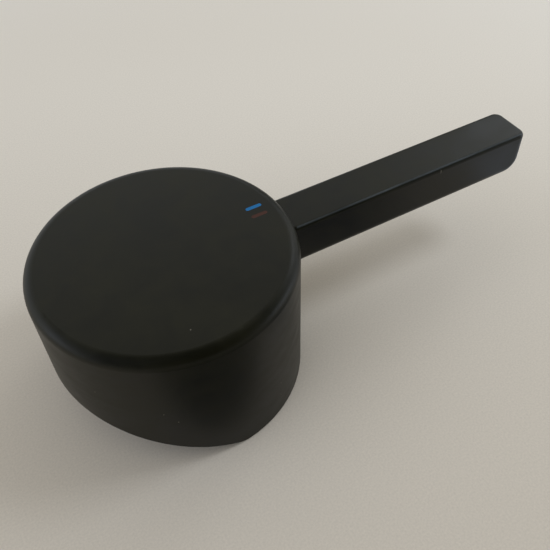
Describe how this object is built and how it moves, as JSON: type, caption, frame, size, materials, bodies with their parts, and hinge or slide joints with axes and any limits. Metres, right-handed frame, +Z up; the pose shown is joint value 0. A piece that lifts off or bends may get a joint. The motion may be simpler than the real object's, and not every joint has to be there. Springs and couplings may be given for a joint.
{
  "type": "lever handle",
  "caption": "Lever handle for a single-lever mixer tap: a round hood with a slanted rim and a square bar, clamped to the cartridge's square stem by a set screw.",
  "frame": {"origin": "centre of the stem socket's mouth, on the hood's axis", "axes": "+Z up the hood's axis towards its flat top, +X along the bar, away from the hood"},
  "size_m": [0.1089, 0.05, 0.032],
  "materials": {
    "black_coat": "satin black coat on a zinc die-casting",
    "blue_enamel": "enamel fill, half gloss",
    "red_enamel": "enamel fill, dull",
    "screw_steel": "plain stainless steel",
    "plug_plastic": "moulded black plastic"
  },
  "bodies": {
    "root": {"lever_casting": "black_coat", "cold_mark": "blue_enamel", "hot_mark": "red_enamel", "grub_screw": "screw_steel", "screw_plug": "plug_plastic"}
  },
  "joints": []
}
